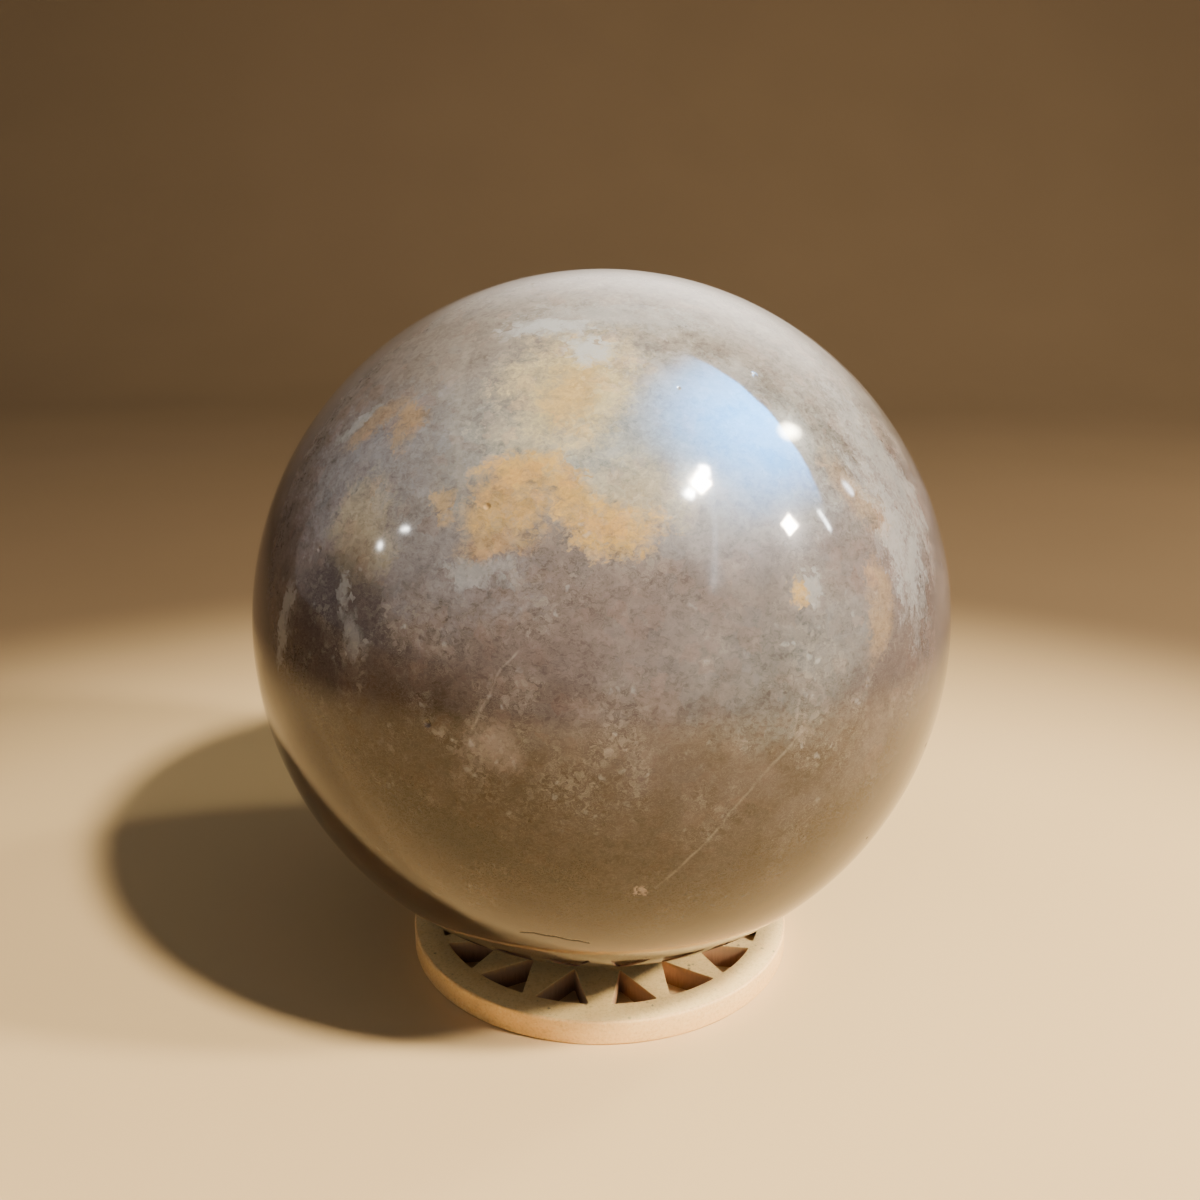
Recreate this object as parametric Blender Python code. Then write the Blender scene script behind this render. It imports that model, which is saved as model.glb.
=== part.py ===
"""Polished stone sphere resting on a thin round wooden stand.

Units are metres and +Z is up. The origin is the centre of the stand's underside, and the
stand's wide bar points along -Y, which is the front. The sphere sits on the upper edge of
the stand's round seat hole.
"""

from math import asin, cos, pi, radians, sin, sqrt

import bmesh
import bpy
from mathutils import Vector

# Stone sphere
SPHERE_DIAMETER = 0.0850
SPHERE_SEGMENTS = 72
SPHERE_RINGS = 36

# Wooden stand
STAND_DIAMETER = 0.0500
STAND_THICKNESS = 0.0032
STAND_SEGMENTS = 128
STAND_EDGE_ROUNDING = 0.0003
STAND_EDGE_STEPS = 2

# Round seat hole in the middle of the stand
SEAT_DIAMETER = 0.0176
SEAT_SEGMENTS = 64
SEAT_CLEARANCE = 0.0003

# Ring of triangular openings, each with its point towards the middle
OPENING_COUNT = 16
OPENING_ARC_STEPS = 4
OPENING_CORNER_RADIUS = 0.0002
OPENING_CORNER_STEPS = 2
RIM_WIDTH = 0.0036
HUB_WIDTH = 0.0057
BAR_WIDTH = 0.0017
WIDE_BAR_EXTRA = 0.0011

# How far a cutter stands out of the board on each side
CUT_OVERRUN = 0.0010

# Surface finishes: colour, roughness, metallic
STONE_FINISH = ((0.36, 0.29, 0.27, 1.0), 0.08, 0.0)
WOOD_FINISH = ((0.66, 0.50, 0.34, 1.0), 0.80, 0.0)

# Edges that turn by more than this stay sharp in shading
SHARP_ANGLE = radians(30)


def clear_scene():
    """Remove every object, so that the script starts from nothing."""
    for item in list(bpy.data.objects):
        bpy.data.objects.remove(item, do_unlink=True)


def make_material(name, finish):
    """Make a Principled material from a colour, a roughness and a metallic value."""
    colour, roughness, metallic = finish
    material = bpy.data.materials.new(name)
    material.use_nodes = True
    shader = material.node_tree.nodes["Principled BSDF"]
    shader.inputs["Base Color"].default_value = colour
    shader.inputs["Roughness"].default_value = roughness
    shader.inputs["Metallic"].default_value = metallic
    material.diffuse_color = colour
    return material


def link_mesh(name, shape, material=None):
    """Turn a bmesh into a smooth shaded object in the scene."""
    mesh = bpy.data.meshes.new(name)
    bmesh.ops.recalc_face_normals(shape, faces=shape.faces)
    shape.to_mesh(mesh)
    shape.free()
    mesh.shade_smooth()
    mesh.set_sharp_from_angle(angle=SHARP_ANGLE)
    item = bpy.data.objects.new(name, mesh)
    if material is not None:
        mesh.materials.append(material)
    bpy.context.scene.collection.objects.link(item)
    return item


def around(radius, angle, height):
    """Give a point at an angle from the front, turning towards +X."""
    return Vector((radius * sin(angle), -radius * cos(angle), height))


def sphere_height():
    """Give the height of the sphere's centre, where it rests on the seat's edge."""
    reach = SPHERE_DIAMETER / 2 + SEAT_CLEARANCE
    return STAND_THICKNESS + sqrt(reach ** 2 - (SEAT_DIAMETER / 2) ** 2)


def vertical_edges(shape):
    """List the edges of a prism that join its bottom to its top."""
    return [edge for edge in shape.edges if abs(edge.verts[0].co.z - edge.verts[1].co.z) > CUT_OVERRUN]


def opening_outline(index, height):
    """List the corners of one opening: the arc along the rim, then the point near the hub."""
    arc_radius = STAND_DIAMETER / 2 - RIM_WIDTH
    point_radius = SEAT_DIAMETER / 2 + HUB_WIDTH
    pitch = 2 * pi / OPENING_COUNT
    half_bar = asin(BAR_WIDTH / 2 / arc_radius)
    start = index * pitch + half_bar
    if index == 0:
        start += WIDE_BAR_EXTRA / arc_radius
    end = (index + 1) * pitch - half_bar
    step = (end - start) / OPENING_ARC_STEPS
    arc = [around(arc_radius, start + step * count, height) for count in range(OPENING_ARC_STEPS + 1)]
    return arc + [around(point_radius, (index + 0.5) * pitch, height)]


def add_opening(shape, index):
    """Add one opening's prism, with its three upright corners rounded, to the cutter."""
    prism = bmesh.new()
    corners = [prism.verts.new(point) for point in opening_outline(index, -CUT_OVERRUN)]
    base = prism.faces.new(corners)
    raised = bmesh.ops.extrude_face_region(prism, geom=[base])["geom"]
    top = [part for part in raised if isinstance(part, bmesh.types.BMVert)]
    bmesh.ops.translate(prism, vec=(0, 0, STAND_THICKNESS + 2 * CUT_OVERRUN), verts=top)
    sharp = [edge for edge in vertical_edges(prism) if edge.calc_face_angle() > SHARP_ANGLE]
    bmesh.ops.bevel(
        prism,
        geom=sharp,
        offset=OPENING_CORNER_RADIUS,
        segments=OPENING_CORNER_STEPS,
        profile=0.5,
        affect="EDGES",
    )
    bmesh.ops.recalc_face_normals(prism, faces=prism.faces)
    piece = bpy.data.meshes.new("opening_prism")
    prism.to_mesh(piece)
    prism.free()
    shape.from_mesh(piece)
    bpy.data.meshes.remove(piece)


def make_cutter():
    """Make the one cutter that takes the seat hole and all the openings out of the stand."""
    shape = bmesh.new()
    hole = bmesh.ops.create_cone(
        shape,
        cap_ends=True,
        segments=SEAT_SEGMENTS,
        radius1=SEAT_DIAMETER / 2,
        radius2=SEAT_DIAMETER / 2,
        depth=STAND_THICKNESS + 2 * CUT_OVERRUN,
    )
    bmesh.ops.translate(shape, vec=(0, 0, STAND_THICKNESS / 2), verts=hole["verts"])
    for index in range(OPENING_COUNT):
        add_opening(shape, index)
    cutter = link_mesh("stand_cutter", shape)
    cutter.hide_render = True
    cutter.display_type = "WIRE"
    return cutter


def make_stand(material):
    """Make the round board with rounded rim edges, its seat hole and its openings."""
    shape = bmesh.new()
    bmesh.ops.create_cone(
        shape,
        cap_ends=True,
        segments=STAND_SEGMENTS,
        radius1=STAND_DIAMETER / 2,
        radius2=STAND_DIAMETER / 2,
        depth=STAND_THICKNESS,
    )
    bmesh.ops.translate(shape, vec=(0, 0, STAND_THICKNESS / 2), verts=shape.verts)
    rim = [edge for edge in shape.edges if edge.verts[0].co.z == edge.verts[1].co.z]
    bmesh.ops.bevel(
        shape,
        geom=rim,
        offset=STAND_EDGE_ROUNDING,
        segments=STAND_EDGE_STEPS,
        profile=0.5,
        affect="EDGES",
    )
    stand = link_mesh("stand", shape, material)
    cut = stand.modifiers.new("openings", "BOOLEAN")
    cut.operation = "DIFFERENCE"
    cut.solver = "EXACT"
    cut.object = make_cutter()
    return stand


def make_sphere(material):
    """Make the solid stone ball and set it down on the seat's edge."""
    shape = bmesh.new()
    bmesh.ops.create_uvsphere(
        shape,
        u_segments=SPHERE_SEGMENTS,
        v_segments=SPHERE_RINGS,
        radius=SPHERE_DIAMETER / 2,
    )
    sphere = link_mesh("sphere", shape, material)
    sphere.location = (0, 0, sphere_height())
    return sphere


def main():
    """Build the sphere and its stand."""
    clear_scene()
    make_stand(make_material("light_wood", WOOD_FINISH))
    make_sphere(make_material("polished_stone", STONE_FINISH))


main()
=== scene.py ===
"""Looks of a decorative sphere: a clouded, polished stone ball on a thin pierced wooden disc.

Both solids of the frame are replaced by finer meshes of the same form. A place on the ball is
a compass angle from the front, turning towards +X, with a height above the ball's equator.
Lengths whose names end in _mm are millimetres, and all others are metres.
"""

import functools
import logging
import math
import random
from dataclasses import dataclass
from enum import Enum
from typing import Any, Iterable

import bmesh
import bpy
from mathutils import Matrix, Vector, kdtree, noise


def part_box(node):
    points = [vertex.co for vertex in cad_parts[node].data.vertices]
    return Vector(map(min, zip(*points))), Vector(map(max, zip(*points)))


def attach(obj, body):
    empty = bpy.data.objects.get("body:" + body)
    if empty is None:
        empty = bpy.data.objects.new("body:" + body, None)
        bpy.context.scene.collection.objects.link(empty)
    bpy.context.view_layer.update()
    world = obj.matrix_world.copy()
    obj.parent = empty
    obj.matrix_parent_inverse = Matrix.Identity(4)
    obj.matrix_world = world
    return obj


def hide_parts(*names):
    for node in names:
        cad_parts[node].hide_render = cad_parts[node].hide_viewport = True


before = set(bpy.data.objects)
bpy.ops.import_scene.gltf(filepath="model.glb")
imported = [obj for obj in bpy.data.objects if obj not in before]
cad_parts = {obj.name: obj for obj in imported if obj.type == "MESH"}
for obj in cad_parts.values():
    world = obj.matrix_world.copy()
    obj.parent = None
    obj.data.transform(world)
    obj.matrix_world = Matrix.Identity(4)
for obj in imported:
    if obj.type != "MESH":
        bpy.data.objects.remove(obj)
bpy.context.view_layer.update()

log = logging.getLogger("decorative_sphere")

MM = 0.001
BODY = "root"
Colour = tuple[float, float, float]
HALF = (0.5, 0.5, 0.5)
X_AXIS = (1.0, 0.0, 0.0)
Y_AXIS = (0.0, 1.0, 0.0)
Z_AXIS = (0.0, 0.0, 1.0)


def direction(compass: float, height: float) -> Vector:
    """Give the unit vector that leaves the ball's centre at a compass angle and a height, in degrees."""
    turn, rise = math.radians(compass), math.radians(height)
    return Vector((math.sin(turn) * math.cos(rise), -math.cos(turn) * math.cos(rise), math.sin(rise)))


class Wire:
    """A shader socket that takes part in Python expressions, each of which adds its node."""

    def __init__(self, graph: "Graph", socket: bpy.types.NodeSocket) -> None:
        """Keep the socket and the graph that new nodes go to."""
        self.graph = graph
        self.socket = socket

    def combine(self, operation: str, left: Any, right: Any) -> "Wire":
        """Join two values by one node.

        Args:
            operation: The name of the Math or Vector Math operation.
            left: The first wire, number or vector.
            right: The second wire, number or vector.

        Returns:
            The node's result, a vector where either side is one.
        """
        sides = [is_vector(left), is_vector(right)]
        if not any(sides):
            numbers = {"Value": left, "Value_001": right}
            return self.graph.node("ShaderNodeMath", {"operation": operation}, numbers)
        if operation == "MULTIPLY" and not all(sides):
            vector, factor = (left, right) if sides[0] else (right, left)
            sockets = {"Vector": vector, "Scale": factor}
            return self.graph.node("ShaderNodeVectorMath", {"operation": "SCALE"}, sockets)
        vectors = {"Vector": left, "Vector_001": right}
        return self.graph.node("ShaderNodeVectorMath", {"operation": operation}, vectors)

    def __add__(self, other: Any) -> "Wire":
        """Add a value to this one."""
        return self.combine("ADD", self, other)

    def __radd__(self, other: Any) -> "Wire":
        """Add this value to another."""
        return self.combine("ADD", other, self)

    def __sub__(self, other: Any) -> "Wire":
        """Take a value from this one."""
        return self.combine("SUBTRACT", self, other)

    def __rsub__(self, other: Any) -> "Wire":
        """Take this value from another."""
        return self.combine("SUBTRACT", other, self)

    def __mul__(self, other: Any) -> "Wire":
        """Multiply by a value."""
        return self.combine("MULTIPLY", self, other)

    def __rmul__(self, other: Any) -> "Wire":
        """Multiply another value by this one."""
        return self.combine("MULTIPLY", other, self)

    def __truediv__(self, other: Any) -> "Wire":
        """Divide by a value."""
        return self.combine("DIVIDE", self, other)

    def __rtruediv__(self, other: Any) -> "Wire":
        """Divide another value by this one."""
        return self.combine("DIVIDE", other, self)

    def __abs__(self) -> "Wire":
        """Drop the sign."""
        return self.graph.node("ShaderNodeMath", {"operation": "ABSOLUTE"}, {"Value": self})

    def length(self) -> "Wire":
        """Measure a vector."""
        return self.graph.node("ShaderNodeVectorMath", {"operation": "LENGTH"}, {"Vector": self}, "Value")

    def resized(self, length: float) -> "Wire":
        """Give a vector of the same direction and this length."""
        return self.graph.node("ShaderNodeVectorMath", {"operation": "NORMALIZE"}, {"Vector": self}) * length

    def dot(self, other: Any) -> "Wire":
        """Give the dot product with another vector."""
        sockets = {"Vector": self, "Vector_001": other}
        return self.graph.node("ShaderNodeVectorMath", {"operation": "DOT_PRODUCT"}, sockets, "Value")

    def largest(self, other: "Wire") -> "Wire":
        """Give the larger of two values."""
        return self.combine("MAXIMUM", self, other)

    def plus_square(self, other: "Wire") -> "Wire":
        """Add the square of another value to this one."""
        sockets = {"Value": other, "Value_001": other, "Value_002": self}
        return self.graph.node("ShaderNodeMath", {"operation": "MULTIPLY_ADD"}, sockets)

    def plus_scaled(self, other: "Wire", factor: float) -> "Wire":
        """Add another value times a plain number to this one."""
        sockets = {"Value": other, "Value_001": factor, "Value_002": self}
        return self.graph.node("ShaderNodeMath", {"operation": "MULTIPLY_ADD"}, sockets)

    def ease(self, low: float, high: float, top: float = 1.0) -> "Wire":
        """Go smoothly from 0 at the low value to top at the high one, or back where low is the larger."""
        span = {"Value": self, "From Min": min(low, high), "From Max": max(low, high)}
        ends = {"To Min": top * (low > high), "To Max": top * (low < high)}
        return self.graph.node("ShaderNodeMapRange", {"interpolation_type": "SMOOTHSTEP"}, span | ends)


def is_vector(value: Any) -> bool:
    """Say whether a wire, number or tuple is a vector or a colour."""
    if isinstance(value, Wire):
        return value.socket.type in {"VECTOR", "RGBA"}
    return isinstance(value, (tuple, Vector))


def find_socket(sockets: Iterable[bpy.types.NodeSocket], name: str) -> bpy.types.NodeSocket:
    """Find a socket by its identifier, or else by its name."""
    named = {socket.name: socket for socket in reversed(list(sockets))}
    return {socket.identifier: socket for socket in sockets}.get(name) or named[name]


class Graph:
    """The nodes of one material or lamp, round its shader."""

    def __init__(self, owner: bpy.types.ID, shader: str = "Principled BSDF") -> None:
        """Start the nodes of a material or lamp, whose shader goes by that name."""
        self.owner = owner
        owner.use_nodes = True
        self.tree = owner.node_tree
        self.shader = self.tree.nodes[shader]

    @classmethod
    def material(cls, name: str) -> "Graph":
        """Start a new material."""
        return cls(bpy.data.materials.new(name))

    def node(
        self,
        kind: str,
        settings: dict[str, Any] | None = None,
        sockets: dict[str, Any] | None = None,
        result: str = "",
    ) -> Wire:
        """Add one node.

        Args:
            kind: The node's type.
            settings: Its own settings, which are set first.
            sockets: The wire or value of each input.
            result: The output to read, which is the first where this is empty.

        Returns:
            The wire that leaves the node.
        """
        made = self.tree.nodes.new(kind)
        for name, value in (settings or {}).items():
            setattr(made, name, value)
        for name, value in (sockets or {}).items():
            self.plug(find_socket(made.inputs, name), value)
        return Wire(self, find_socket(made.outputs, result) if result else made.outputs[0])

    def plug(self, socket: bpy.types.NodeSocket, value: Any) -> None:
        """Link a wire to an input, or set the input's own value."""
        if isinstance(value, Wire):
            self.tree.links.new(value.socket, socket)
        elif socket.type == "RGBA":
            socket.default_value = (*value, 1.0)
        else:
            socket.default_value = value

    def finish(self, **sockets: Any) -> Any:
        """Set the shader's inputs, with _ for a space in each name, and give the material or lamp."""
        for name, value in sockets.items():
            self.plug(self.shader.inputs[name.replace("_", " ")], value)
        return self.owner

    def place_mm(self) -> Wire:
        """Give the shaded point from the object's own origin, in millimetres."""
        return self.node("ShaderNodeTexCoord", result="Object") * (1 / MM)

    def blend(self, amount: Any, below: Any, above: Any) -> Wire:
        """Lay one colour over another by an amount from 0 to 1."""
        sockets = {"Factor_Float": amount, "A_Color": below, "B_Color": above}
        return self.node("ShaderNodeMix", {"data_type": "RGBA"}, sockets, "Result_Color")

    def noise(
        self, place: Any, size_mm: float, detail: float = 2.0, rough: float = 0.5, twist: float = 0.0
    ) -> Wire:
        """Give a cloudy value about 0.5.

        Args:
            place: The point, in millimetres.
            size_mm: How far across its features are.
            detail: How many times finer features are added.
            rough: How strong each finer set is, against the one before.
            twist: How far the features curl.

        Returns:
            The value.
        """
        sockets = {"Vector": place, "Scale": 1 / size_mm, "Detail": detail}
        sockets |= {"Roughness": rough, "Distortion": twist}
        return self.node("ShaderNodeTexNoise", {}, sockets, "Fac")

    def drift(self, place: Any, size_mm: float, reach_mm: float, detail: float = 1.0) -> Wire:
        """Give a cloudy push in all directions, up to about half of reach_mm."""
        sockets = {"Vector": place, "Scale": 1 / size_mm, "Detail": detail}
        colour = self.node("ShaderNodeTexNoise", {}, sockets, "Color")
        return (colour - HALF) * reach_mm

    def cells(self, place: Any, size_mm: float, result: str = "Distance") -> Wire:
        """Give the distance to the nearest cell's middle, or that cell's own colour."""
        return self.node("ShaderNodeTexVoronoi", {}, {"Vector": place, "Scale": 1 / size_mm}, result)

    def crystals(self, place: Any, size_mm: float) -> Wire:
        """Give three values from -0.5 to 0.5 as a vector, the same all over each angular crystal."""
        return self.cells(place, size_mm, "Color") - HALF

    def bump(self, height: Wire, reach_mm: float, strength: float) -> Wire:
        """Turn a height between 0 and 1 into a normal."""
        sockets = {"Height": height, "Distance": reach_mm * MM, "Strength": strength}
        return self.node("ShaderNodeBump", {}, sockets, "Normal")


class Tint(Enum):
    """The stone's colours, as linear red, green and blue. The darkest brown is deepened past the stone's own
    colour to stand in for painted shade under the ball.
    """

    TAUPE = (0.056, 0.044, 0.035)
    UMBER_AND_SHADE = (0.016, 0.010, 0.006)
    AMBER = (0.022, 0.010, 0.002)
    OLIVE = (0.008, 0.005, 0.001)
    MAUVE = (0.102, 0.083, 0.082)
    PLUM = (0.034, 0.027, 0.031)
    ROSE = (0.212, 0.174, 0.166)
    CREAM = (0.230, 0.215, 0.195)
    SLATE = (0.140, 0.142, 0.165)
    HAZE = (0.205, 0.235, 0.250)
    MILK = (0.330, 0.355, 0.380)
    OCHRE = (0.350, 0.222, 0.060)
    HONEY = (0.340, 0.285, 0.155)
    RUST = (0.215, 0.142, 0.068)


@dataclass(frozen=True)
class Cloud:
    """One coloured cloud in the stone.

    Args:
        tint: Its colour.
        compass: Degrees from the front, towards +X.
        height: Degrees above the ball's equator.
        wide_mm: Half its width along the ball.
        tall_mm: Half its height along the ball.
        amount: How much of the stone below it hides, from 0 to 1.
        lean: Degrees that its long way turns, anticlockwise.
        blur: How soft its edge is, as a share of its half width.
        fray: How far the stone's grain breaks its edge.
    """

    tint: Tint
    compass: float
    height: float
    wide_mm: float
    tall_mm: float
    amount: float = 0.8
    lean: float = 0.0
    blur: float = 0.60
    fray: float = 1.8

    def mask(self, place: Wire, grain: Wire, ball_mm: float) -> Wire:
        """Give the cloud's cover over the stone.

        Args:
            place: The shaded point, pushed about over the ball, in millimetres.
            grain: The stone's grain, about 0, already made as strong as the cloud frays.
            ball_mm: The ball's radius.

        Returns:
            A value from 0 to the cloud's amount.
        """
        out = direction(self.compass, self.height)
        east = Vector(Z_AXIS).cross(out).normalized()
        lean = math.radians(self.lean + (90 if self.tall_mm > self.wide_mm else 0))
        long_way = east * math.cos(lean) + out.cross(east) * math.sin(lean)
        short, long = sorted((self.wide_mm, self.tall_mm))
        edge = short ** 2
        near = place.dot(tuple(out * (2 * ball_mm / edge)))
        if long > short:
            near = near.plus_square(place.dot(tuple(long_way * math.sqrt(1 / edge - 1 / long ** 2))))
        rim = 2 * ball_mm ** 2 / edge - 1
        return (near + grain).ease(rim - 2 * self.blur, rim + 2 * self.blur, self.amount)


@dataclass(frozen=True)
class Seam:
    """One healed crack that shows as a thin line on the ball, between two places.

    Args:
        start: Compass angle and height of one end, in degrees.
        end: Compass angle and height of the other end, in degrees.
        width_mm: Half the line's width.
        amount: How much of the stone it hides, from 0 to 1.
        fade: Where it starts to fade and where it is gone, as shares of half its length.
    """

    start: tuple[float, float]
    end: tuple[float, float]
    width_mm: float
    amount: float
    fade: tuple[float, float] = (0.6, 1.2)

    def mask(self, place: Wire, ball_mm: float) -> Wire:
        """Give the line's cover over the stone, strongest at its middle."""
        first, last = direction(*self.start), direction(*self.end)
        middle = (first + last).normalized()
        half_angle = first.angle(last) / 2
        line = abs(place.dot(tuple(first.cross(last).normalized()))).ease(self.width_mm, 0.0, self.amount)
        near, far = (ball_mm * math.cos(half_angle * share) for share in self.fade)
        return line * place.dot(tuple(middle)).ease(far, near)


BROAD_CLOUDS = (
    # Painted shade: the two umber clouds low on the ball lay brown stone deepened into painted shade over its
    # bottom.
    Cloud(Tint.UMBER_AND_SHADE, 0, -50, 46, 40, 0.95, blur=0.8, fray=1.0),
    Cloud(Tint.UMBER_AND_SHADE, 150, -40, 46, 34, 0.70, blur=0.8, fray=1.0),
    Cloud(Tint.CREAM, 50, 72, 36, 22, 0.60, blur=0.8, fray=1.4),
    Cloud(Tint.CREAM, -34, 58, 30, 17, 0.92, blur=0.8, fray=1.2),
    Cloud(Tint.HAZE, 4, 41, 28, 9, 0.55, blur=0.8, fray=1.2),
    Cloud(Tint.HAZE, 23, 14, 13, 7, 0.32, blur=0.8, fray=1.6),
    Cloud(Tint.MAUVE, -60, 22, 20, 36, 0.80, blur=0.8, fray=1.2),
    Cloud(Tint.MAUVE, -6, 20, 26, 9, 0.85, blur=0.8, fray=1.6),
    Cloud(Tint.AMBER, -40, -20, 22, 18, 0.92, blur=0.8, fray=1.4),
    Cloud(Tint.MAUVE, 148, 22, 30, 24, 0.60, blur=0.8, fray=1.6),
    Cloud(Tint.SLATE, -130, 18, 24, 26, 0.50, blur=0.8, fray=1.6),
)

CLOUDS = (
    Cloud(Tint.SLATE, -42, 35, 9, 8, 0.85, 20),
    Cloud(Tint.HAZE, 0, 43, 12, 5, 0.50),
    Cloud(Tint.SLATE, -25, 24, 9, 5, 0.60, -10),
    Cloud(Tint.HONEY, -7, 50, 6.0, 7.0, 0.90),
    Cloud(Tint.HONEY, -10, 43, 6.0, 4.0, 0.45),
    Cloud(Tint.OCHRE, -8, 49, 2.4, 3.4, 0.60),
    Cloud(Tint.OCHRE, -12, 36, 3.8, 2.4, 0.90, 15),
    Cloud(Tint.OCHRE, -13.5, 31.5, 3.6, 2.8, 0.75),
    Cloud(Tint.OCHRE, -14.5, 27, 3.2, 2.0, 0.50, 20),
    Cloud(Tint.OCHRE, -3.5, 33.5, 4.6, 2.0, 0.90, -40),
    Cloud(Tint.OCHRE, 3, 30.5, 4.2, 2.0, 0.90, 10),
    Cloud(Tint.OCHRE, -24, 31.5, 1.1, 1.2, 0.45),
    Cloud(Tint.HONEY, 6, 35, 5.0, 2.6, 0.45),
    Cloud(Tint.RUST, -35.5, 41, 1.7, 2.2, 0.75, 30),
    Cloud(Tint.RUST, -44.5, 42, 3.6, 1.8, 0.55, 45),
    Cloud(Tint.HONEY, -37, 26, 4.0, 5.0, 0.40),
    Cloud(Tint.HONEY, 1, 56, 1.6, 1.2, 0.70),
    Cloud(Tint.RUST, 43.5, 15, 1.8, 5.0, 0.50, -8),
    Cloud(Tint.RUST, 47, 31, 1.8, 5.0, 0.45, 25),
    Cloud(Tint.OCHRE, 28.5, 18.5, 0.8, 1.5, 0.80, fray=1.0),
    Cloud(Tint.UMBER_AND_SHADE, 31.5, 37.0, 1.3, 1.1, 0.40, blur=0.3, fray=0.5),
    Cloud(Tint.OLIVE, -20.5, -14.0, 6.5, 3.0, 0.80, -22),
    Cloud(Tint.OLIVE, -14, -37, 9.0, 2.0, 0.45, -8, fray=1.6),
    Cloud(Tint.OLIVE, -38, 18.5, 5.0, 5.0, 0.45),
    Cloud(Tint.PLUM, -43.5, 9.0, 4.6, 9.0, 0.75, 4, blur=0.35, fray=1.0),
    Cloud(Tint.PLUM, -36, 17, 3.0, 5.5, 0.50, fray=1.6),
    Cloud(Tint.PLUM, 58, 12, 3.0, 5.0, 0.60, 10),
    Cloud(Tint.ROSE, -13.5, 1.5, 2.6, 2.2, 0.40, fray=1.0),
    Cloud(Tint.ROSE, 7, -21, 0.7, 0.7, 0.60, blur=0.3, fray=1.0),
    Cloud(Tint.OCHRE, 118, 34, 8.0, 5.5, 0.80, 15),
    Cloud(Tint.RUST, 172, 8, 6.5, 4.5, 0.60),
    Cloud(Tint.HAZE, 150, 42, 12, 9, 0.60, -20),
    Cloud(Tint.HONEY, -150, 36, 9, 6, 0.60, 30),
)

WHITE_CLOUDS = (
    Cloud(Tint.MILK, -16.6, 62.5, 3.6, 1.3, 0.90, 6),
    Cloud(Tint.MILK, -22.5, 60.5, 2.6, 1.0, 0.70, 12),
    Cloud(Tint.MILK, -4.5, 57.5, 2.4, 1.6, 0.90, -30),
    Cloud(Tint.MILK, 4, 66, 9.0, 2.6, 0.40, fray=4.0),
    Cloud(Tint.MILK, 22, 52, 7.0, 3.0, 0.30, fray=4.0),
    Cloud(Tint.MILK, -17, 22.5, 3.4, 1.0, 0.30, -10, fray=3.5),
    Cloud(Tint.MILK, -38.9, 17.5, 0.8, 2.2, 0.35, 28, fray=1.8),
    Cloud(Tint.MILK, -35.4, 11.9, 1.0, 2.2, 0.28, 14, fray=1.8),
    Cloud(Tint.MILK, -52.6, 10.4, 0.9, 4.6, 0.45, 4, fray=1.4),
    Cloud(Tint.MILK, -52.0, 41.0, 3.0, 1.0, 0.40, 50, fray=3.0),
    Cloud(Tint.MILK, 54, 22, 3.6, 9.0, 0.38, 6, fray=4.5),
    Cloud(Tint.MILK, 60, 33, 3.0, 9.0, 0.30, 16, fray=4.5),
    Cloud(Tint.MILK, 31, 18.4, 1.4, 1.7, 0.35, fray=3.0),
    Cloud(Tint.MILK, 132, 20, 8.0, 9.0, 0.50, 30, fray=4.5),
    Cloud(Tint.MILK, -165, 14, 9.0, 5.0, 0.50, -20, fray=4.5),
)

CRYSTAL_ZONE = Cloud(Tint.ROSE, 0, 15, 60, 13, 1.0, blur=0.7, fray=1.0)

SEAMS = (
    Seam((30, 3), (22, -4.6), 0.34, 0.24),
    Seam((22, -4.6), (10, -21), 0.32, 0.26),
    Seam((-9.4, 14), (-12.1, 9.3), 0.24, 0.55),
    Seam((-12.1, 9.3), (-16.2, 2.4), 0.24, 0.50),
    Seam((27, 2), (33, 20), 0.25, 0.25),
    Seam((-41, 61.9), (-28.5, 46.9), 0.80, 0.30),
    Seam((-28.5, 46.9), (-18, 24.6), 0.80, 0.30),
    Seam((170, -10), (140, 12), 0.30, 0.45),
)


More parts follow.
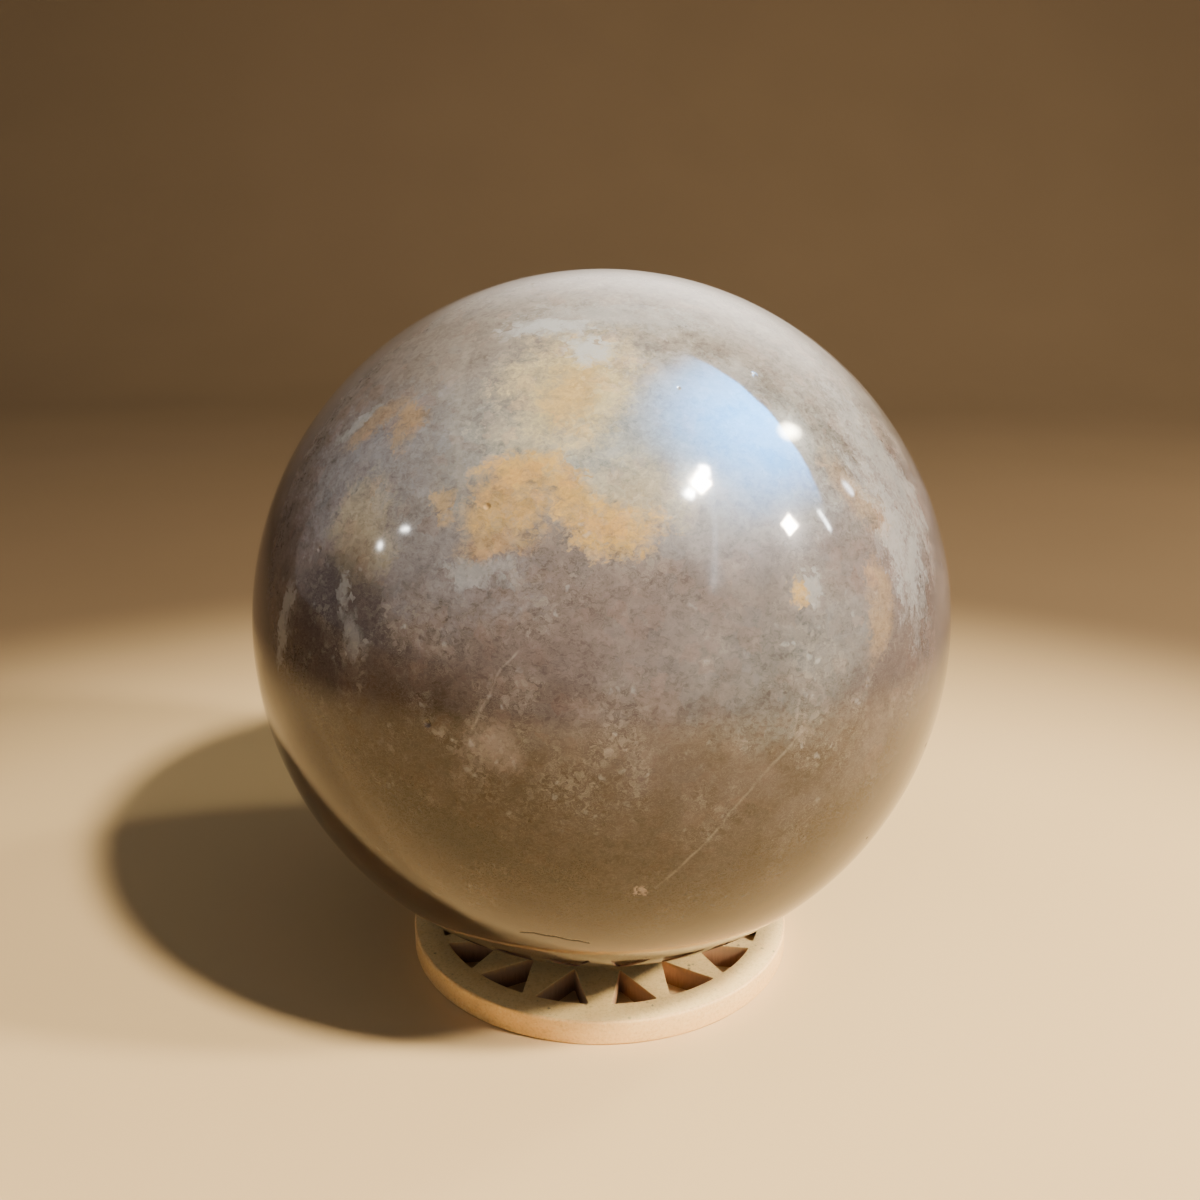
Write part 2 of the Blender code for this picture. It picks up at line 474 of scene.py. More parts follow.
@dataclass(frozen=True)
class StoneFinish:
    """The polished, clouded stone of the ball.

    Args:
        ball_mm: The ball's radius.
        gloss: Its least roughness, to which the smears add.
        smear: How much they add.
        middle_mm: Size of the middle crystals.
        fine_mm: Size of the fine crystals.
        depths: How far the middle crystals, fine crystals, grain and threads vary the brightness.
        warm: Colour factors of the warm crystals, and how far they go.
        cool: Colour factors of the cool crystals, and how far they go.
        pale: How far the middle and fine pale crystals go towards cream, where they are rich.
        curl_reach: How far from its middle value the thread noise still makes a curl.
        curls: How strong the curls are everywhere, and what rich places add.
        spark_mm: Spacing of the pale specks.
        spark: How strong they are.
        wave_mm: Length of the waves of hand polishing.
        wave_relief_mm: Their height.
        wave_strength: How strongly they show.
    """

    ball_mm: float
    gloss: float = 0.045
    smear: float = 0.060
    middle_mm: float = 1.6
    fine_mm: float = 0.55
    depths: tuple[float, float, float, float] = (0.12, 0.16, 1.0, 0.9)
    warm: tuple[Colour, float] = ((1.25, 0.95, 0.85), 0.25)
    cool: tuple[Colour, float] = ((0.90, 1.00, 1.10), 0.30)
    pale: tuple[float, float] = (0.22, 0.32)
    curl_reach: float = 0.030
    curls: tuple[float, float] = (0.16, 0.30)
    spark_mm: float = 1.9
    spark: float = 0.35
    wave_mm: float = 9.0
    wave_relief_mm: float = 0.16
    wave_strength: float = 0.35

    def material(self) -> bpy.types.Material:
        """Build the stone from its body colour out: clouds, crystals, seams, then the polish."""
        graph = Graph.material("polished_stone")
        place = graph.place_mm()
        ragged = place + graph.drift(place, 1.0, 1.4, 2.0)
        middle = graph.crystals(ragged, self.middle_mm)
        fine = graph.crystals(ragged, self.fine_mm)
        grain = graph.noise(place, 2.6, 6.0, 0.74) - 0.5
        threads = graph.noise(ragged * (1.0, 1.0, 2.0), 0.70, 4.0, 0.78) - 0.5
        frays = grain.plus_scaled(threads, 0.7)
        pushed = place + graph.drift(place, 14.0, 8.0, 2.0) + middle * 1.2 + fine * 0.8
        pushed = pushed.resized(self.ball_mm)
        colour = self.body(graph, place)
        for layer in (BROAD_CLOUDS, CLOUDS):
            colour = self.lay_clouds(graph, layer, pushed, frays, colour)
        colour = self.mottle(graph, colour, (middle, fine), grain, threads)
        wisps = graph.noise(pushed * (1.0, 1.0, 0.4), 1.5, 5.0, 0.78) - 0.5
        colour = self.lay_clouds(graph, WHITE_CLOUDS, pushed, wisps, colour)
        zone = CRYSTAL_ZONE.mask(pushed, grain * (2 * CRYSTAL_ZONE.fray), self.ball_mm)
        drifts = graph.noise(place + (3.0, 50.0, 8.0), 7.0, 3.0, 0.7).ease(0.42, 0.64)
        colour = self.flakes(graph, ragged, (zone * 0.75 + 0.25) * drifts, colour, (middle, fine), threads)
        wander = (place + graph.drift(place, 5.0, 1.8, 1.0)).resized(self.ball_mm)
        lines = functools.reduce(Wire.largest, (seam.mask(wander, self.ball_mm) for seam in SEAMS))
        colour = graph.blend(lines * grain.ease(-0.20, 0.10), colour, Tint.CREAM.value)
        return self.polish(graph, place, colour)

    def lay_clouds(
        self, graph: Graph, layer: tuple[Cloud, ...], place: Wire, grain: Wire, colour: Wire
    ) -> Wire:
        """Lay the clouds of one layer over the colour below, tint by tint.

        Args:
            graph: The stone's nodes.
            layer: The clouds.
            place: The shaded point, already pushed about, in millimetres.
            grain: The grain that frays their edges, about 0.
            colour: The colour below.

        Returns:
            The clouded colour.
        """
        frayed = {fray: grain * (2 * fray) for fray in dict.fromkeys(cloud.fray for cloud in layer)}
        for tint in dict.fromkeys(cloud.tint for cloud in layer):
            alike = (cloud for cloud in layer if cloud.tint is tint)
            masks = (cloud.mask(place, frayed[cloud.fray], self.ball_mm) for cloud in alike)
            colour = graph.blend(functools.reduce(Wire.largest, masks), colour, tint.value)
        return colour

    def body(self, graph: Graph, place: Wire) -> Wire:
        """Give the stone's ground colour, which drifts between taupe, mauve and rose."""
        slow = graph.noise(place, 22.0, 3.0, 0.55).ease(0.36, 0.64)
        fast = graph.noise(place + (40.0, 7.0, 19.0), 7.0, 4.0, 0.66).ease(0.42, 0.66)
        ground = graph.blend(slow, Tint.TAUPE.value, Tint.MAUVE.value)
        return graph.blend(fast * 0.28, ground, Tint.ROSE.value)

    def mottle(
        self, graph: Graph, colour: Wire, crystals: tuple[Wire, Wire], grain: Wire, threads: Wire
    ) -> Wire:
        """Give each crystal its own depth and hue.

        Args:
            graph: The stone's nodes.
            colour: The clouded colour so far.
            crystals: The three values of each middle and fine crystal.
            grain: The stone's grain, about 0.
            threads: The finer, flattened grain, about 0.

        Returns:
            The mottled colour.
        """
        middle, fine = crystals
        by_middle, by_fine, by_grain, by_threads = self.depths
        depth = middle.dot(X_AXIS) * by_middle + fine.dot(X_AXIS) * by_fine + 1.0
        colour = colour * depth.plus_scaled(grain, by_grain).plus_scaled(threads, by_threads)
        for axis, (shift, amount) in ((Y_AXIS, self.warm), (Z_AXIS, self.cool)):
            some = middle.dot(axis).ease(0.18, 0.5) * amount
            colour = graph.blend(some, colour, colour * shift)
        return colour

    def flakes(
        self, graph: Graph, ragged: Wire, rich: Wire, colour: Wire, crystals: tuple[Wire, Wire], threads: Wire
    ) -> Wire:
        """Turn some crystals pale and lay pale curls and specks, where the stone is rich in them.

        Args:
            graph: The stone's nodes.
            ragged: The shaded point, with a fine ragged push, in millimetres.
            rich: How rich in pale crystals the stone is there.
            colour: The colour so far.
            crystals: The three values of each middle and fine crystal.
            threads: The finer, flattened grain, about 0, whose middle values make the curls.

        Returns:
            The colour with pale crystals.
        """
        middle, fine = crystals
        by_middle, by_fine = self.pale
        everywhere, in_rich = self.curls
        cream = Tint.CREAM.value
        colour = graph.blend(middle.dot(Y_AXIS).ease(0.25, 0.5) * rich * by_middle, colour, cream)
        colour = graph.blend(fine.dot(Y_AXIS).ease(0.15, 0.42) * rich * by_fine, colour, cream)
        curls = abs(threads).ease(self.curl_reach, 0.0) * (rich * in_rich + everywhere)
        colour = graph.blend(curls, colour, cream)
        sparks = graph.cells(ragged, self.spark_mm).ease(0.22, 0.08)
        return graph.blend(sparks * rich * self.spark, colour, Tint.MILK.value)

    def polish(self, graph: Graph, place: Wire, colour: Wire) -> bpy.types.Material:
        """Set the gloss, with faint smears and the slight waves that hand polishing leaves."""
        smears = graph.noise(place, 16.0, 2.0, 0.6).ease(0.35, 0.75)
        waves = graph.noise(place, self.wave_mm, 2.0, 0.5)
        return graph.finish(
            Base_Color=colour,
            Roughness=smears * self.smear + self.gloss,
            Normal=graph.bump(waves, self.wave_relief_mm, self.wave_strength),
            IOR=1.50,
        )


class WoodPart(Enum):
    """The surfaces of the wooden disc, in the order of its material slots."""

    FACE = 0
    SIDE = 1
    CUT = 2


@dataclass(frozen=True)
class WoodFinish:
    """The bare board of the stand, whose cut walls are browned by heat and carry painted shade low in the
    openings.
    """

    thickness_mm: float
    face: Colour = (0.92, 0.66, 0.27)
    side: Colour = (0.90, 0.56, 0.20)
    light_fibre: Colour = (0.96, 0.76, 0.38)
    dark_fibre: Colour = (0.36, 0.24, 0.12)
    scorch: Colour = (0.62, 0.38, 0.20)
    # Painted shade: the deepest brown, reached at the bottom of the cut walls, is the burn darkened as shade
    # inside the openings.
    scorch_and_shade: Colour = (0.28, 0.15, 0.07)
    fibre_mm: float = 0.34
    blotch_mm: float = 3.6
    speck_mm: float = 1.5
    streak_mm: float = 0.36
    felt_mm: float = 0.22
    relief_mm: float = 0.05

    def fibres(self, graph: Graph, place: Wire, colour: Any) -> Wire:
        """Lay pale and dark fibres of pressed board over a colour."""
        felt = graph.noise(place, self.fibre_mm, 4.0, 0.75, 0.3)
        blotch = graph.noise(place, self.blotch_mm, 3.0, 0.6)
        colour = graph.blend(felt.ease(0.46, 0.72) * 0.55, colour, self.light_fibre)
        colour = graph.blend(felt.ease(0.50, 0.30) * 0.40, colour, self.dark_fibre)
        return graph.blend(blotch.ease(0.50, 0.70) * 0.25, colour, self.side)

    def face_material(self) -> bpy.types.Material:
        """Build the pale top and underside, with fine dark specks."""
        graph = Graph.material("board_face")
        place = graph.place_mm()
        colour = self.fibres(graph, place, self.face)
        specks = graph.cells(place + graph.drift(place, 0.5, 0.4), self.speck_mm).ease(0.20, 0.08)
        specks = specks * graph.noise(place, 2.2, 1.0).ease(0.50, 0.62)
        colour = graph.blend(specks * 0.85, colour, self.dark_fibre)
        return graph.finish(Base_Color=colour, Roughness=0.82, Normal=self.felt(graph, place))

    def side_material(self) -> bpy.types.Material:
        """Build the smooth, warmer outer side."""
        graph = Graph.material("board_side")
        place = graph.place_mm()
        layers = graph.noise(place * (1.0, 1.0, 6.0), 2.4, 3.0, 0.6)
        colour = self.fibres(graph, place, self.side)
        colour = graph.blend(layers.ease(0.40, 0.70) * 0.30, colour, self.face)
        return graph.finish(Base_Color=colour, Roughness=0.68, Normal=self.felt(graph, place))

    def cut_material(self) -> bpy.types.Material:
        """Build the heat-browned walls of the openings, with painted shade that makes them darkest near the
        bottom.
        """
        graph = Graph.material("board_cut")
        place = graph.place_mm()
        rise = graph.node("ShaderNodeSeparateXYZ", {}, {"Vector": place}, "Z") / self.thickness_mm
        streaks = graph.noise(place * (1.0, 1.0, 0.12), self.streak_mm, 3.0, 0.7)
        # Painted shade: the burnt colour deepens towards the bottom of each wall, as shade inside the
        # opening.
        burn_and_shade = (rise + (streaks - 0.5) * 0.5).ease(0.75, 0.05)
        colour = graph.blend(burn_and_shade, self.scorch, self.scorch_and_shade)
        edge = (rise + (streaks - 0.5) * 0.35).ease(0.72, 1.05)
        colour = graph.blend(edge * 0.85, colour, self.side)
        relief = graph.bump(streaks, self.relief_mm, 0.6)
        return graph.finish(Base_Color=colour, Roughness=0.75, Normal=relief)

    def felt(self, graph: Graph, place: Wire) -> Wire:
        """Give the board's fine felted relief."""
        return graph.bump(graph.noise(place, self.felt_mm, 4.0, 0.7), self.relief_mm, 0.45)


def make_object(
    name: str, shape: bmesh.types.BMesh, materials: Iterable[bpy.types.Material]
) -> bpy.types.Object:
    """Turn a finished bmesh into a smooth shaded object in the scene.

    Args:
        name: The object's name.
        shape: The mesh, which is freed.
        materials: Its material slots, in order.

    Returns:
        The linked object.
    """
    mesh = bpy.data.meshes.new(name)
    shape.to_mesh(mesh)
    shape.free()
    mesh.shade_smooth()
    for material in materials:
        mesh.materials.append(material)
    made = bpy.data.objects.new(name, mesh)
    bpy.context.scene.collection.objects.link(made)
    return made


def settle(piece: bpy.types.Object, node: str) -> None:
    """Put a piece in the place of a CAD node, on the part's one body, and report it."""
    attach(piece, BODY)
    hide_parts(node)
    log.info("%s: %d faces in place of %s", piece.name, len(piece.data.polygons), node)


@dataclass(frozen=True)
class Flaw:
    """One small dent in the polish, at a place on the ball."""

    place: Vector
    width: float
    depth: float


@dataclass
class StoneBall:
    """The polished ball, with the shallow flats of polishing, a few pits and one open crack."""

    centre: Vector
    radius: float
    subdivisions: int = 7
    wave_mm: float = 0.030
    wave_length_mm: float = 17.0
    crack: tuple[tuple[float, float], ...] = (
        (-12.6, -34.4), (-10.4, -34.0), (-8.2, -34.5), (-6.4, -34.6),
        (-4.4, -35.4), (-2.6, -35.6), (-0.6, -36.4),
    )
    crack_steps: int = 12
    crack_width_mm: float = 0.16
    crack_depth_mm: float = 0.08
    pit_count: int = 26
    pit_seed: int = 5
    pit_sizes_mm: tuple[float, float] = (0.18, 0.42)
    pit_depth_share: float = 0.4
    refine_passes: int = 3
    refine_widths: float = 1.5
    refine_reach_mm: float = 0.9

    def build(self) -> bpy.types.Object:
        """Make the ball and dress it."""
        shape = bmesh.new()
        bmesh.ops.create_icosphere(shape, subdivisions=self.subdivisions, radius=self.radius)
        flaws = self.crack_flaws() + self.pits()
        tree = kdtree.KDTree(len(flaws))
        for index, flaw in enumerate(flaws):
            tree.insert(flaw.place, index)
        tree.balance()
        self.refine(shape, flaws, tree)
        for vert in shape.verts:
            vert.co = self.polished(vert.co.normalized(), flaws, tree)
        ball = make_object("stone_ball", shape, [StoneFinish(self.radius / MM).material()])
        ball.location = self.centre
        return ball

    def crack_flaws(self) -> list[Flaw]:
        """Give closely spaced dents along the open crack."""
        turns = [direction(*place) for place in self.crack]
        steps = [step / self.crack_steps for step in range(self.crack_steps)]
        path = [first.slerp(last, share) for first, last in zip(turns, turns[1:]) for share in steps]
        return [Flaw(out * self.radius, self.crack_width_mm * MM, self.crack_depth_mm * MM) for out in path]

    def pits(self) -> list[Flaw]:
        """Choose the places and sizes of the small natural pits."""
        draw = random.Random(self.pit_seed)
        found = []
        for _ in range(self.pit_count):
            place = Vector((draw.gauss(0, 1), draw.gauss(0, 1), draw.gauss(0, 1))).normalized()
            size = draw.uniform(*self.pit_sizes_mm) * MM
            found.append(Flaw(place * self.radius, size, size * self.pit_depth_share))
        return found

    def refine(self, shape: bmesh.types.BMesh, flaws: list[Flaw], tree: kdtree.KDTree) -> None:
        """Cut the faces near the dents finer, a few times over."""
        for step in range(self.refine_passes):
            near = []
            for edge in shape.edges:
                _, index, gap = tree.find((edge.verts[0].co + edge.verts[1].co) / 2)
                reach = self.refine_reach_mm * MM / 2 ** step
                if gap < flaws[index].width * self.refine_widths + reach:
                    near.append(edge)
            bmesh.ops.subdivide_edges(shape, edges=near, cuts=1, use_grid_fill=True)
        bmesh.ops.triangulate(shape, faces=[face for face in shape.faces if len(face.verts) > 4])

    def polished(self, out: Vector, flaws: list[Flaw], tree: kdtree.KDTree) -> Vector:
        """Give the surface point in a direction, never outside the true ball.

        Args:
            out: The unit direction from the ball's centre.
            flaws: The dents.
            tree: The dents' places.

        Returns:
            The point from the ball's centre.
        """
        true = out * self.radius
        wave = (noise.noise(true / (self.wave_length_mm * MM)) + 1) / 2
        _, index, gap = tree.find(true)
        dent = flaws[index].depth * max(0.0, 1 - (gap / flaws[index].width) ** 2)
        return out * (self.radius - wave * self.wave_mm * MM - dent)


@dataclass(frozen=True)
class Outline:
    """One closed outline of the disc, with the direction into the wood at each of its points."""

    points: list[Vector]
    inward: list[Vector]
    surface: WoodPart
    edge_mm: float


@dataclass
class PiercedDisc:
    """The thin round board with a round seat hole and a ring of triangular openings."""

    radius: float
    thickness: float
    seat_radius: float = 0.0088
    rim_width: float = 0.0036
    hub_width: float = 0.0057
    bar_width: float = 0.0017
    wide_bar_extra: float = 0.0011
    opening_count: int = 16
    corner_mm: float = 0.16
    soft_corner_mm: float = 0.42
    rim_edge_mm: float = 0.30
    cut_edge_mm: float = 0.08
    sharp_angle: float = 50.0
    rim_steps: int = 256
    seat_steps: int = 96
    arc_steps: int = 10
    corner_steps: int = 4
    edge_steps: int = 3

    def build(self) -> bpy.types.Object:
        """Make the disc and dress it."""
        shape = bmesh.new()
        outlines = [self.rim(), self.seat(), *map(self.opening, range(self.opening_count))]
        rings = [self.wall(shape, outline) for outline in outlines]
        for end in (0, -1):
            edges = [edge for ring in rings for edge in self.ring_edges(shape, ring[end])]
            bmesh.ops.triangle_fill(shape, use_beauty=True, edges=edges)
        bmesh.ops.recalc_face_normals(shape, faces=shape.faces)
        finish = WoodFinish(self.thickness / MM)
        materials = [finish.face_material(), finish.side_material(), finish.cut_material()]
        disc = make_object("pierced_disc", shape, materials)
        disc.data.set_sharp_from_angle(angle=math.radians(self.sharp_angle))
        return disc

    def rim(self) -> Outline:
        """Give the outer edge, whose wood lies towards the middle."""
        around = self.circle(self.rim_steps)
        points = [out * self.radius for out in around]
        return Outline(points, [-out for out in around], WoodPart.SIDE, self.rim_edge_mm)

    def seat(self) -> Outline:
        """Give the seat hole, whose wood lies outside it."""
        around = self.circle(self.seat_steps)
        points = [out * self.seat_radius for out in around]
        return Outline(points, around, WoodPart.CUT, self.cut_edge_mm)

    def circle(self, steps: int) -> list[Vector]:
        """Give evenly spaced directions all round, from the front, towards +X."""
        return [self.out(2 * math.pi * step / steps) for step in range(steps)]

    def out(self, turn: float) -> Vector:
        """Give the flat direction at an angle from the front."""
        return Vector((math.sin(turn), -math.cos(turn)))

    def opening(self, index: int) -> Outline:
        """Give one triangular opening: an arc along the rim, and a point towards the hub.

        Args:
            index: Which opening, counted from the wide bar at the front, towards +X.

        Returns:
            Its outline with rounded corners.
        """
        arc = self.radius - self.rim_width
        pitch = 2 * math.pi / self.opening_count
        half_bar = math.asin(self.bar_width / 2 / arc)
        start = index * pitch + half_bar + (self.wide_bar_extra / arc if index == 0 else 0)
        end = (index + 1) * pitch - half_bar
        turns = [start + (end - start) * step / self.arc_steps for step in range(self.arc_steps + 1)]
        corners = [self.out(turn) * arc for turn in turns]
        point = self.out((index + 0.5) * pitch) * (self.seat_radius + self.hub_width)
        soft = self.soft_corner_mm if index == 1 else self.corner_mm
        roundings = [soft] + [0.0] * (self.arc_steps - 1) + [self.corner_mm, self.corner_mm]
        points = self.round_corners([*corners, point], roundings)
        return Outline(points, self.outward(points), WoodPart.CUT, self.cut_edge_mm)

    def round_corners(self, corners: list[Vector], roundings_mm: list[float]) -> list[Vector]:
        """Replace each corner that has a rounding by a short arc.

        Args:
            corners: The outline's corners, in order.
            roundings_mm: The radius at each corner, 0 where it stays.

        Returns:
            The points of the rounded outline.
        """
        points = []
        for index, corner in enumerate(corners):
            radius = roundings_mm[index] * MM
            if radius == 0:
                points.append(corner)
                continue
            back = (corners[index - 1] - corner).normalized()
            on = (corners[(index + 1) % len(corners)] - corner).normalized()
            half = back.angle(on) / 2
            centre = corner + (back + on).normalized() * radius / math.sin(half)
            first = corner + back * radius / math.tan(half) - centre
            last = corner + on * radius / math.tan(half) - centre
            sweep = first.angle_signed(last)
            for step in range(self.corner_steps + 1):
                turned = first.copy()
                turned.rotate(Matrix.Rotation(-sweep * step / self.corner_steps, 2))
                points.append(centre + turned)
        return points

    def outward(self, points: list[Vector]) -> list[Vector]:
        """Give the direction out of a closed outline at each point, long enough to keep an even offset."""
        middle = sum(points, Vector((0, 0))) / len(points)
        found = []
        for index, point in enumerate(points):
            before = (point - points[index - 1]).normalized()
            after = (points[(index + 1) % len(points)] - point).normalized()
            out = (before.orthogonal() + after.orthogonal()).normalized()
            if out.dot(point - middle) < 0:
                out = -out
            found.append(out / max(0.5, abs(out.dot(before.orthogonal().normalized()))))
        return found

    def profile(self, edge: float) -> list[tuple[float, float]]:
        """List how far into the wood and how high each ring of a wall is, from the bottom up."""
        quarter = [math.pi / 2 * step / self.edge_steps for step in range(self.edge_steps + 1)]
        low = [(edge * (1 - math.sin(turn)), edge * (1 - math.cos(turn))) for turn in quarter]
        high = [(inset, self.thickness - rise) for inset, rise in reversed(low)]
        return low + high

    def wall(self, shape: bmesh.types.BMesh, outline: Outline) -> list[list[bmesh.types.BMVert]]:
        """Make the wall under one outline, with rounded edges.

        Args:
            shape: The mesh that the wall is added to.
            outline: The outline to follow.

        Returns:
            The wall's rings of vertices, from the bottom up.
        """
        rings = []
        for inset, rise in self.profile(outline.edge_mm * MM):
            flat = [point + inward * inset for point, inward in zip(outline.points, outline.inward)]
            rings.append([shape.verts.new((point.x, point.y, rise)) for point in flat])
        for level, (lower, upper) in enumerate(zip(rings, rings[1:])):
            rounded = level != self.edge_steps
            surface = WoodPart.FACE if rounded and outline.surface is WoodPart.CUT else outline.surface
            for index in range(len(lower)):
                face = shape.faces.new((lower[index - 1], lower[index], upper[index], upper[index - 1]))
                face.material_index = surface.value
        return rings

    def ring_edges(
        self, shape: bmesh.types.BMesh, ring: list[bmesh.types.BMVert]
    ) -> list[bmesh.types.BMEdge]:
        """List the edges that join the vertices of one ring."""
        return [shape.edges.get((ring[index - 1], ring[index])) for index in range(len(ring))]


class Fade(Enum):
    """How a lamp's brightness falls off over its face."""

    EVEN = "even"
    ROUND = "bright in the middle"
    SIDE = "bright at the right edge"


@dataclass(frozen=True)
class Lamp:
    """A flat lamp, placed so that the ball mirrors it to the camera at one place.

    Args:
        name: The lamp's name.
        glint: Compass angle and height on the ball where it shows, in degrees.
        distance: From the ball's surface, along the mirrored ray.
        size: Width and height.
        brightness: Radiance at its brightest.
        colour: Linear red, green and blue.
        turn: Degrees that it is turned about its own axis.
        fade: How its brightness falls off.
        lights: Whether it lights surfaces, and doesn't only show in the polish.
    """

    name: str
    glint: tuple[float, float]
    distance: float
    size: tuple[float, float]
    brightness: float
    colour: Colour
    turn: float = 0.0
    fade: Fade = Fade.EVEN
    lights: bool = False

    def build(self, ball: "StoneBall", eye: Vector) -> bpy.types.Object:
        """Hang the lamp and turn it to the ball."""
        out = direction(*self.glint)
        spot = ball.centre + out * ball.radius
        ray = (spot - eye).normalized()
        place = spot + (ray - 2 * ray.dot(out) * out) * self.distance
        data = bpy.data.lights.new(self.name, "AREA")
        data.shape = "RECTANGLE"
        data.size, data.size_y = self.size
        data.energy = self.brightness * math.pi * self.size[0] * self.size[1]
        data.color = self.colour
        if self.fade is not Fade.EVEN:
            self.shade(data)
        lamp = bpy.data.objects.new(self.name, data)
        aim = (ball.centre - place).to_track_quat("-Z", "Y").to_matrix()
        aim = aim @ Matrix.Rotation(math.radians(self.turn), 3, "Z")
        lamp.matrix_world = Matrix.Translation(place) @ aim.to_4x4()
        lamp.visible_camera = False
        lamp.visible_diffuse = self.lights
        bpy.context.scene.collection.objects.link(lamp)
        log.info("%s hangs at %s", self.name, tuple(round(value, 3) for value in place))
        return lamp

    def shade(self, data: bpy.types.Light) -> None:
        """Let the brightness fall off over the lamp's face."""
        graph = Graph(data, "Emission")
        face = graph.node("ShaderNodeNewGeometry", result="Parametric") - HALF
        if self.fade is Fade.ROUND:
            level = (face * (1.0, 1.0, 0.0)).length().ease(0.5, 0.0)
        else:
            rise = abs(face.dot(Y_AXIS)).ease(0.5, 0.0)
            level = face.dot(X_AXIS).ease(-0.5, 0.3) * rise
        white = graph.blend(level, (0.0, 0.0, 0.0), (1.0, 1.0, 1.0))
        graph.finish(Color=white)


LAMPS = (
    Lamp("key", (16.7, 35.2), 0.60, (0.055, 0.050), 1250.0, (1.00, 0.86, 0.67), 20, lights=True),
    Lamp("side_key", (30.2, 28.5), 0.60, (0.050, 0.045), 1050.0, (1.00, 0.86, 0.67), 10, lights=True),
    Lamp("back_key", (37.0, 41.5), 0.60, (0.12, 0.065), 260.0, (1.00, 0.90, 0.66), -35, Fade.ROUND, True),
    Lamp("overhead", (40.0, 72.0), 0.60, (0.90, 0.90), 2.7, (1.00, 0.90, 0.80), 0, Fade.ROUND),
    Lamp("pale_wall", (50.0, 62.0), 0.50, (0.90, 0.46), 3.4, (1.00, 0.93, 0.84), 0, Fade.ROUND),
    Lamp("window", (22.0, 41.0), 0.55, (0.46, 0.60), 92.0, (0.02, 0.40, 1.00), -12, Fade.SIDE),
    Lamp("pale_room", (24.0, 31.0), 0.60, (1.00, 0.55), 9.0, (0.96, 0.97, 1.00), -15, Fade.ROUND),
    Lamp("key_tail", (14.6, 33.9), 0.60, (0.030, 0.026), 500.0, (1.00, 0.98, 0.92), 35),
    Lamp("key_top", (17.8, 36.8), 0.60, (0.034, 0.030), 500.0, (1.00, 0.98, 0.92), 60),
    Lamp("key_halo", (16.7, 35.2), 0.60, (0.26, 0.26), 14.0, (1.00, 1.00, 0.96), 0, Fade.ROUND),
    Lamp("side_key_halo", (30.2, 28.5), 0.60, (0.22, 0.22), 10.0, (1.00, 1.00, 0.96), 0, Fade.ROUND),
    Lamp("back_key_halo", (38.0, 41.0), 0.60, (0.22, 0.18), 12.0, (1.00, 1.00, 0.85), 0, Fade.ROUND),
    Lamp("bright_gap", (17.9, 30.8), 0.60, (0.020, 0.52), 5.0, (0.85, 0.95, 1.00), -24),
    Lamp("small_pane", (17.1, 23.2), 0.60, (0.055, 0.085), 1.8, (0.90, 0.95, 1.00), -8),
    Lamp("left_glint", (-32.9, 24.6), 0.60, (0.005, 0.013), 400.0, (1.00, 0.97, 0.90), 35),
    Lamp("left_glint_high", (-29.1, 27.4), 0.60, (0.005, 0.012), 400.0, (1.00, 0.97, 0.90), -30),
    Lamp("left_glint_arm", (-28.6, 27.6), 0.60, (0.004, 0.012), 300.0, (1.00, 0.97, 0.90), 60),
    Lamp("right_glint", (37.0, 28.3), 0.60, (0.007, 0.060), 160.0, (1.00, 1.00, 0.95), 0),
    Lamp("far_right_glint", (44.6, 32.0), 0.60, (0.009, 0.040), 80.0, (0.85, 0.92, 1.00), 0),
)


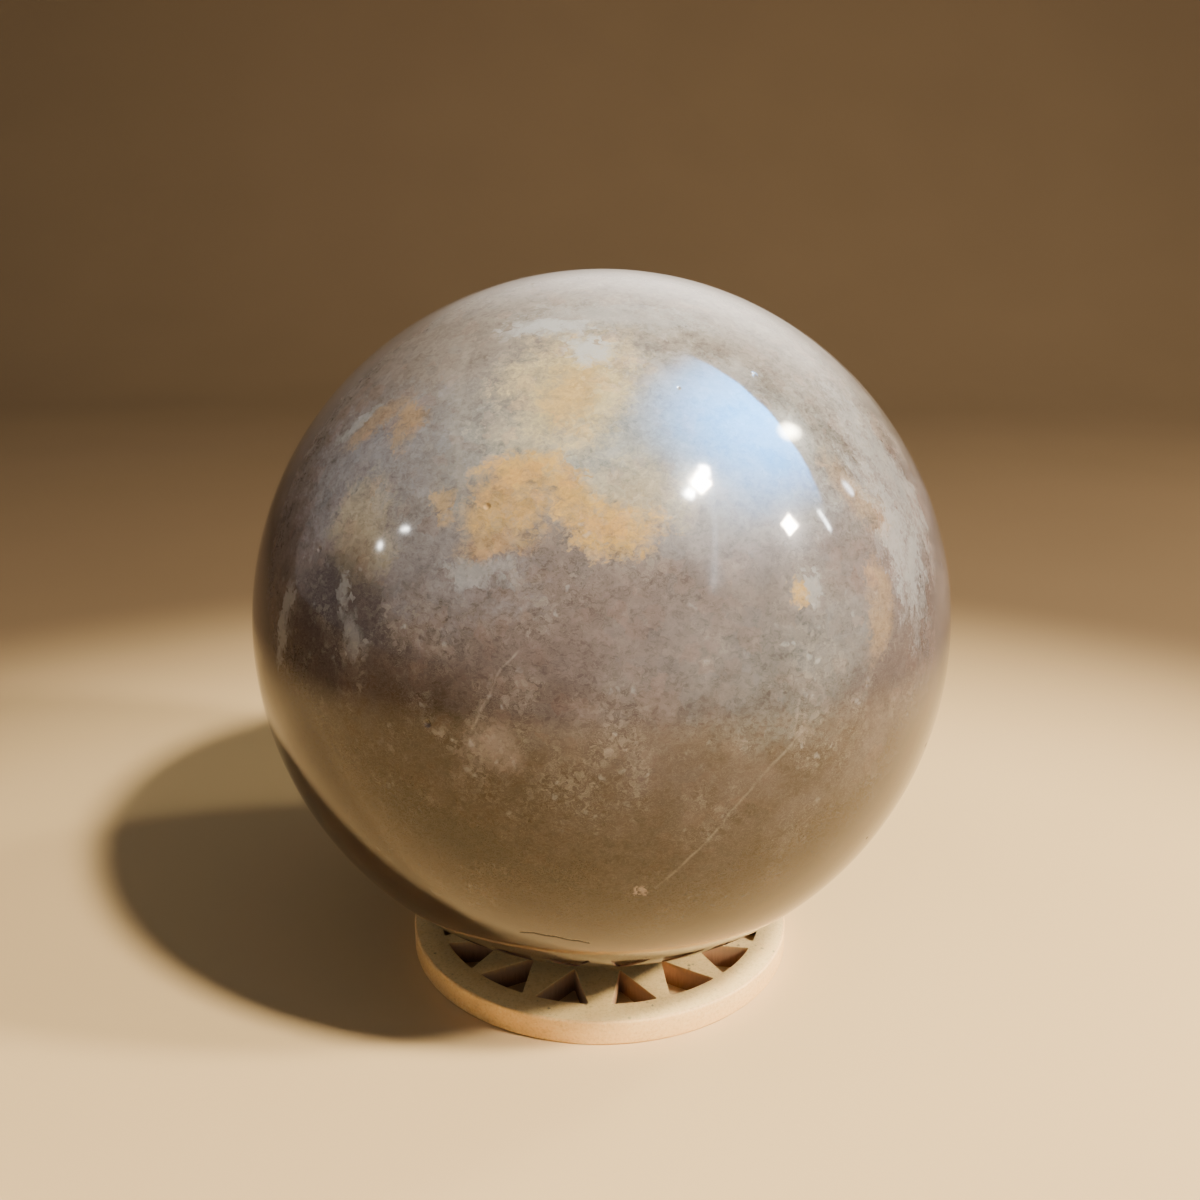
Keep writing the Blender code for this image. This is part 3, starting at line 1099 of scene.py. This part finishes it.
@dataclass
class Studio:
    """The pale floor with its curved backdrop, the soft light and the camera.

    The pale patch of floor has its middle pale_ahead_mm in front of the object. The floor
    darkens from pale_reach_mm to dark_reach_mm round that middle.
    """

    floor_colour: Colour = (0.60, 0.44, 0.23)
    backdrop_colour: Colour = (0.11, 0.076, 0.044)
    pale_ahead_mm: float = 60.0
    pale_reach_mm: float = 125.0
    dark_reach_mm: float = 235.0
    tone_mm: float = 60.0
    tone_range: float = 0.10
    world_colour: Colour = (0.78, 0.75, 0.76)
    world_strength: float = 0.34
    sweep_distance: float = 0.45
    sweep_radius: float = 0.30
    floor_half: float = 1.6
    sweep_height: float = 1.6
    sweep_steps: int = 24

    def build(self, ball: StoneBall, camera: "PhotoCamera") -> None:
        """Set up everything round the object."""
        self.floor()
        self.world()
        eye = camera.build()
        for lamp in LAMPS:
            lamp.build(ball, eye)

    def floor(self) -> None:
        """Make the floor, which sweeps up behind the object."""
        profile = [(-self.floor_half, 0.0)]
        for step in range(self.sweep_steps + 1):
            turn = math.pi / 2 * step / self.sweep_steps
            ahead = self.sweep_distance + self.sweep_radius * math.sin(turn)
            profile.append((ahead, self.sweep_radius * (1 - math.cos(turn))))
        profile.append((self.sweep_distance + self.sweep_radius, self.sweep_height))
        shape = bmesh.new()
        sides = [[shape.verts.new((side, ahead, rise)) for ahead, rise in profile]
                 for side in (-self.floor_half, self.floor_half)]
        for index in range(len(profile) - 1):
            left, right = sides
            shape.faces.new((left[index], right[index], right[index + 1], left[index + 1]))
        graph = Graph.material("pale_floor")
        place = graph.place_mm()
        tone = graph.noise(place, self.tone_mm, 1.0) * self.tone_range + (1 - self.tone_range / 2)
        distance = (place + (0.0, self.pale_ahead_mm, 0.0)).length()
        away = distance.ease(self.pale_reach_mm, self.dark_reach_mm)
        colour = graph.blend(away, self.floor_colour, self.backdrop_colour) * tone
        matte = graph.node("ShaderNodeBsdfDiffuse", {}, {"Color": colour})
        graph.plug(graph.tree.nodes["Material Output"].inputs["Surface"], matte)
        graph.tree.nodes.remove(graph.shader)
        make_object("pale_floor", shape, [graph.owner])

    def world(self) -> None:
        """Fill the shadows with an even, dim light."""
        world = bpy.data.worlds.new("studio")
        world.use_nodes = True
        background = world.node_tree.nodes["Background"]
        background.inputs["Color"].default_value = (*self.world_colour, 1.0)
        background.inputs["Strength"].default_value = self.world_strength
        bpy.context.scene.world = world


@dataclass(frozen=True)
class PhotoCamera:
    """The camera of the photograph, solved from the disc's rim and the ball's outline.

    Args:
        distance: From the middle of the disc's underside.
        compass: Degrees from the front, towards +X.
        height: Degrees above the floor.
        tilt: Degrees that it looks down.
        heading: Degrees that it looks left of straight ahead.
        roll: Degrees that it leans, anticlockwise.
        lens_mm: Focal length on a 36 mm wide square frame.
    """

    distance: float = 0.17745
    compass: float = 1.2
    height: float = 32.364
    tilt: float = 17.658
    heading: float = 1.273
    roll: float = 0.285
    lens_mm: float = 37.548

    def build(self) -> Vector:
        """Set up the camera and give its place."""
        data = bpy.data.cameras.new("photo_camera")
        data.sensor_width = 36.0
        data.lens = self.lens_mm
        data.clip_start = 0.01
        camera = bpy.data.objects.new("photo_camera", data)
        place = direction(self.compass, self.height) * self.distance
        aim = Matrix.Rotation(math.radians(self.heading), 4, "Z")
        aim = aim @ Matrix.Rotation(math.radians(90 - self.tilt), 4, "X")
        aim = aim @ Matrix.Rotation(math.radians(self.roll), 4, "Z")
        camera.matrix_world = Matrix.Translation(place) @ aim
        bpy.context.scene.collection.objects.link(camera)
        bpy.context.scene.camera = camera
        return place


def main() -> None:
    """Build the ball, the disc and the studio from the frame's own sizes."""
    logging.basicConfig(level=logging.INFO, format="%(name)s: %(message)s")
    low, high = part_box("sphere")
    ball = StoneBall((low + high) / 2, (high.x - low.x) / 2)
    settle(ball.build(), "sphere")
    low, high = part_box("stand")
    disc = PiercedDisc((high.x - low.x) / 2, high.z - low.z)
    settle(disc.build(), "stand")
    Studio().build(ball, PhotoCamera())


if __name__ == "__main__":
    main()
